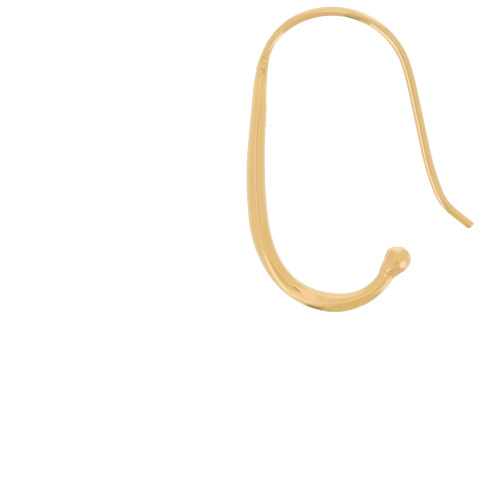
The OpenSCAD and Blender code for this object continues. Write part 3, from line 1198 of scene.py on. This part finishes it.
@dataclass
class EarWire:
    """The whole wire: its parts in order, skinned as one closed mesh and laid on its side."""

    path: WirePath = field(default_factory=WirePath)
    sides: int = 120
    support_gap: float = 0.4
    settle_passes: int = 5
    join_blend: float = 0.12
    cap_rings: int = 3

    def __post_init__(self) -> None:
        """Makes the parts."""
        self.ball = BallEnd(self.path)
        self.bar = FrontBar(self.path)
        self.joint = SolderJoint(self.path)
        self.hook = EarHook(self.path)
        self.tail = Tail(self.path)
        self.parts: list[WirePart] = [self.ball, self.bar, self.joint, self.hook, self.tail]

    def round_radius(self, along: Array) -> Array:
        """Works out the round section, without the ball.

        Args:
            along: Distances along the wire in mm.

        Returns:
            The radii in mm.
        """
        bar = self.bar.taper().at(along) / 2
        hook = self.hook.taper().at(along) / 2
        end = self.path.bar_l + self.bar.tip_l
        past = smoothstep(end - self.join_blend, end + self.join_blend, along)
        wire = bar * (1 - past) + hook * past
        filed = np.minimum(wire, self.tail.end_radius(along))
        return np.where(along > self.path.tail_s, filed, wire)

    def section(self, along: Array, around: Array) -> Array:
        """Works out the shape of the wire's sections.

        Args:
            along: Distances along the wire in mm, of shape (rings, 1).
            around: Angles round the wire in radians, of shape (1, sides).

        Returns:
            Distances in mm from the wire's line to its surface, of shape (rings, sides).
        """
        along, around = np.broadcast_arrays(along, around)
        base = self.round_radius(along)
        neck = (base + self.ball.flare(along, around)) * smoothstep(*self.ball.neck_fade, along)
        ball = self.ball.ball_radius(along)
        soft = self.ball.blend * smoothstep(*self.ball.blend_fade, along)
        joined = (neck + ball + np.sqrt((neck - ball) ** 2 + soft**2)) / 2
        shape = np.where(along > self.ball.ball_d, base, joined)
        skin = Skin(along, around, shape)
        return shape + sum(part.relief(skin) for part in self.parts)

    def supports(self, start: float, end: float) -> Array:
        """Places and radii of the wire at which it may touch the surface.

        Args:
            start: First distance along the wire in mm.
            end: Last distance along the wire in mm.

        Returns:
            Rows of x, y and radius in mm.
        """
        count = math.ceil((end - start) / self.support_gap)
        along = np.linspace(start, end, count + 1)
        places, _ = self.path.at(along)
        sizes = self.bar.taper().at(along) if end <= self.path.bar_l else self.hook.taper().at(along)
        return np.column_stack([places, sizes / 2])

    def rest(self) -> Matrix:
        """Lets the wire settle on its ball, its bar and its hook.

        Returns:
            The move in mm that lays it on the floor with its middle over the origin.
        """
        ball = np.array([0.0, 0.0, self.ball.ball_d / 2])
        bar = self.supports(self.ball.ball_d, self.path.bar_l)
        hook = self.supports(self.path.arch_s, self.path.wire_l - self.tail.chamfer)
        plane = RestingPlane.under([ball, bar[0], hook[0]])
        for _ in range(self.settle_passes):
            low = [part[np.argmin(plane.gaps(part))] for part in (bar, hook)]
            plane = RestingPlane.under([ball, *low])
        every = np.vstack([ball, bar, hook])
        lowest = (every[:, :2] - every[:, 2:]).min(0)
        highest = (every[:, :2] + every[:, 2:]).max(0)
        return plane.laid_flat((lowest + highest) / 2)

    def rings(self) -> tuple[Array, Array, Array]:
        """Cuts the wire into rings.

        Returns:
            The rings' points in the wire's own space in mm, of shape (rings, sides, 3), the
            same points as places on the wire drawn out straight, and each ring's part.
        """
        cuts = [part.ring_places() for part in self.parts]
        owner = np.concatenate([np.full(len(cut), i) for i, cut in enumerate(cuts)])
        along = np.concatenate(cuts)[:, None]
        around = (2 * math.pi * np.arange(self.sides) / self.sides)[None, :]
        reach = self.section(along, around)
        side, rise = reach * np.cos(around), reach * np.sin(around)
        centres, headings = self.path.at(along[:, 0])
        ahead = self.tail.shift(along, side)
        cos, sin = np.cos(headings)[:, None], np.sin(headings)[:, None]
        x = centres[:, :1] - side * sin + ahead * cos
        y = centres[:, 1:] + side * cos + ahead * sin
        straight = np.stack([np.broadcast_to(along, side.shape), side, rise], -1)
        return np.stack([x, y, rise], -1), straight, owner

    def close(self, rings: Array, straight: Array) -> tuple[Array, Array, list[list[int]], list[int]]:
        """Skins the rings and closes both ends.

        Args:
            rings: Points of the rings in mm.
            straight: The same points on the wire drawn out straight.

        Returns:
            The mesh's points, its straight places, its faces and the ring that each face is on.
        """
        n, count = self.sides, len(rings)
        end = rings[-1]
        centre = end.mean(0)
        inner = [centre + (end - centre) * (1 - k / self.cap_rings) for k in range(1, self.cap_rings)]
        flat = [straight[-1]] * len(inner)
        points = np.concatenate([rings.reshape(-1, 3), *inner])
        places = np.concatenate([straight.reshape(-1, 3), *flat])
        total = count + len(inner)
        faces, on_ring = [], []
        for k in range(total - 1):
            for i in range(n):
                j = (i + 1) % n
                faces.append([k * n + i, k * n + j, (k + 1) * n + j, (k + 1) * n + i])
                on_ring.append(min(k, count - 1))
        pole, heart = len(points), len(points) + 1
        heading = math.radians(self.path.heading)
        back = -self.ball.ball_l / 2
        tip = [back * math.cos(heading), back * math.sin(heading), 0.0]
        points = np.vstack([points, tip, centre])
        places = np.vstack([places, [back, 0.0, 0.0], straight[-1].mean(0)])
        for i in range(n):
            j = (i + 1) % n
            faces.append([pole, j, i])
            faces.append([heart, (total - 1) * n + i, (total - 1) * n + j])
            on_ring += [0, count - 1]
        return points, places, faces, on_ring

    def build(self) -> bpy.types.Object:
        """Builds the closed mesh, laid on the floor.

        Returns:
            The object, in metres, with a place on the straight wire stored at each point.
        """
        rings, straight, owner = self.rings()
        points, places, faces, on_ring = self.close(rings, straight)
        mesh = bpy.data.meshes.new(PIECE)
        mesh.from_pydata((points * MM).tolist(), [], faces)
        scale = Matrix.Scale(MM, 4)
        mesh.transform(scale @ self.rest() @ scale.inverted())
        stored = mesh.attributes.new(PLACE_DATA, "FLOAT_VECTOR", "POINT")
        stored.data.foreach_set("vector", places.astype(np.float32).ravel())
        mesh.polygons.foreach_set("use_smooth", [True] * len(faces))
        mesh.polygons.foreach_set("material_index", owner[on_ring].astype(np.int32))
        mesh.validate()
        mesh.update()
        wire = bpy.data.objects.new(PIECE, mesh)
        bpy.context.scene.collection.objects.link(wire)
        return wire

    def dress(self, wire: bpy.types.Object, groups: NodeGroups) -> None:
        """Gives each part of the wire its finish.

        Args:
            wire: The wire's object.
            groups: The shared node groups.
        """
        for part in self.parts:
            wire.data.materials.append(part.finish.material(groups))
            log.info("%s is dressed in %s", part.stretch.value, part.finish.name)


@dataclass(frozen=True)
class Panel:
    """A panel of the light tent, as the metal reflects it. It covers the ones before it.

    The azimuth is in degrees from the right of the photograph, anticlockwise, with a half width.
    Low and high are tilts in degrees from straight up. The tent's own light has the level 1. The
    climb raises the tilts per degree of azimuth, and the lean turns the azimuth per degree of
    tilt.
    """

    azimuth: float
    half: float
    low: float
    high: float
    level: float
    side_soft: float = 5.0
    low_soft: float = 10.0
    high_soft: float = 12.0
    climb: float = 0.0
    lean: float = 0.0

    def cover(self, tree: Tree, made: bpy.types.NodeTree, **view: object) -> Socket:
        """Adds the panel's node group to the world's tree and returns the level that it leaves."""
        return tree.group(made, **view, **inputs_of(self))


# A half width that takes in every azimuth, and a tilt past straight down
ALL_ROUND = 200.0
NADIR = 200.0


@dataclass
class Studio:
    """A white light tent with a lit table, a few soft panels, and the camera straight above."""

    groups: NodeGroups
    lens: float = 400.0
    sensor: float = 36.0
    table_side: float = 1.2
    table_white: float = 0.9
    table_rough: float = 0.9
    table_shine: float = 0.1
    table_glow: float = 0.5
    wire_height: float = 0.8
    cool: Colour = (0.93, 1.02, 1.22)
    cool_from: float = 70.0
    cool_to: float = 115.0
    panels: tuple[Panel, ...] = (
        # The low light all round, stronger at the top, at the right and at the left
        Panel(0, ALL_ROUND, 98, NADIR, 1.10, 1),
        Panel(358, 14, 70, NADIR, 1.07, 8, 14),
        Panel(35, 35, 94, NADIR, 1.14, 12, 14),
        Panel(92, 42, 106, NADIR, 1.20, 10),
        Panel(70, 55, 127, NADIR, 1.30, 12, 8),
        Panel(165, 8, 72, NADIR, 1.12, 6, 24),
        Panel(175, 25, 92, NADIR, 1.12, 8, 14),
        # The long panel at the top, and a lower one beside it
        Panel(88, 24, 57, NADIR, 1.23, 7, 30),
        Panel(60, 10, 85, NADIR, 1.24, 6, 18),
        # The open side at the right
        Panel(15, 9, 25, 80, 0.975),
        # The curved reflector at the lower left, with the camera's opening inside it
        Panel(247, 14, 4, 58, 1.11, 4, 3, 12, lean=-0.1),
        Panel(214, 12, 2, 24, 0.81, 10, 3, 6),
        Panel(218, 15, 47, 77, 1.40, 7, 8, 8, climb=1.5),
        Panel(240, 10, 52, 88, 1.31, 4, 7, 8, climb=-1.6),
        # The dark side at the bottom
        Panel(293, 22, 5, 140, 0.87, 3, 3, 16, lean=-0.2),
        Panel(306, 9, 5, 140, 0.88, 3, 3, 16),
        Panel(253, 6, 82, 140, 0.56, 3, 6, 14, climb=-2.0),
        # The round lamp at the lower right
        Panel(322, 9, 52, 78, 1.28, 2.5, 10),
        Panel(325, 9, 52, 125, 1.28, 3.5, 12),
    )

    def light(self) -> None:
        """Lights the scene with the tent, which the camera itself sees as plain white."""
        world = bpy.data.worlds.new("light_tent")
        bpy.context.scene.world = world
        world.use_nodes = True
        tree = Tree(world.node_tree)
        x, y, z = tree.apart(tree.add("ShaderNodeTexCoord").outputs["Generated"])
        toward = tree.math("DEGREES", tree.math("ARCTAN2", y, x))
        tilt = tree.math("DEGREES", tree.math("ARCCOSINE", z))
        level: object = 1.0
        for panel in self.panels:
            level = panel.cover(tree, self.groups.panel, Toward=toward, Tilt=tilt, Behind=level)
        lit = tree.group(self.groups.tone, Level=level)
        low = tree.ramp(tilt, self.cool_from, self.cool_to)
        lit = tree.mix("MULTIPLY", low, lit, (*self.cool, 1.0))
        seen = tree.add("ShaderNodeLightPath").outputs["Is Camera Ray"]
        shown = tree.mix("MIX", seen, lit, WHITE)
        tree.feed(world.node_tree.nodes["Background"].inputs["Color"], shown)

    def lay_table(self) -> None:
        """Lays the pale lit table under the wire. It is clear to what the metal reflects."""
        half = self.table_side / 2
        mesh = bpy.data.meshes.new("table")
        corners = [(-half, -half, 0.0), (half, -half, 0.0), (half, half, 0.0), (-half, half, 0.0)]
        mesh.from_pydata(corners, [], [(0, 1, 2, 3)])
        table = bpy.data.objects.new("table", mesh)
        table.visible_glossy = False
        bpy.context.scene.collection.objects.link(table)
        made = bpy.data.materials.new("lit_table")
        made.use_nodes = True
        shader = made.node_tree.nodes["Principled BSDF"]
        shader.inputs["Base Color"].default_value = (*(self.table_white,) * 3, 1.0)
        shader.inputs["Roughness"].default_value = self.table_rough
        shader.inputs["Specular IOR Level"].default_value = self.table_shine
        shader.inputs["Emission Color"].default_value = WHITE
        shader.inputs["Emission Strength"].default_value = self.table_glow
        mesh.materials.append(made)

    def place_camera(self) -> None:
        """Hangs the camera straight above the middle of the photograph, looking down."""
        width = PHOTO_SIDE / PHOTO_SCALE * MM
        middle = PHOTO_SIDE / 2
        x = (middle - PHOTO_ORIGIN[0]) / PHOTO_SCALE * MM
        y = (PHOTO_ORIGIN[1] - middle) / PHOTO_SCALE * MM
        height = width * self.lens / self.sensor + self.wire_height * MM
        data = bpy.data.cameras.new("camera")
        data.lens = self.lens
        data.sensor_width = self.sensor
        data.clip_start = height / 10
        camera = bpy.data.objects.new("camera", data)
        camera.location = (x, y, height)
        bpy.context.scene.collection.objects.link(camera)
        bpy.context.scene.camera = camera

    def build(self) -> None:
        """Sets up the light, the table, the camera and the way that light becomes colour."""
        self.light()
        self.lay_table()
        self.place_camera()
        bpy.context.scene.view_settings.view_transform = "Standard"
        log.info("The studio has %d panels", len(self.panels))


def main() -> None:
    """Builds the ear wire, dresses it and lights it."""
    groups = NodeGroups()
    ear_wire = EarWire()
    wire = ear_wire.build()
    log.info("%s has %d faces", wire.name, len(wire.data.polygons))
    ear_wire.dress(wire, groups)
    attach(wire, BODY)
    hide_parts(NODE)
    Studio(groups).build()


if __name__ == "__main__":
    logging.basicConfig(level=logging.INFO, format="%(name)s: %(message)s")
    main()
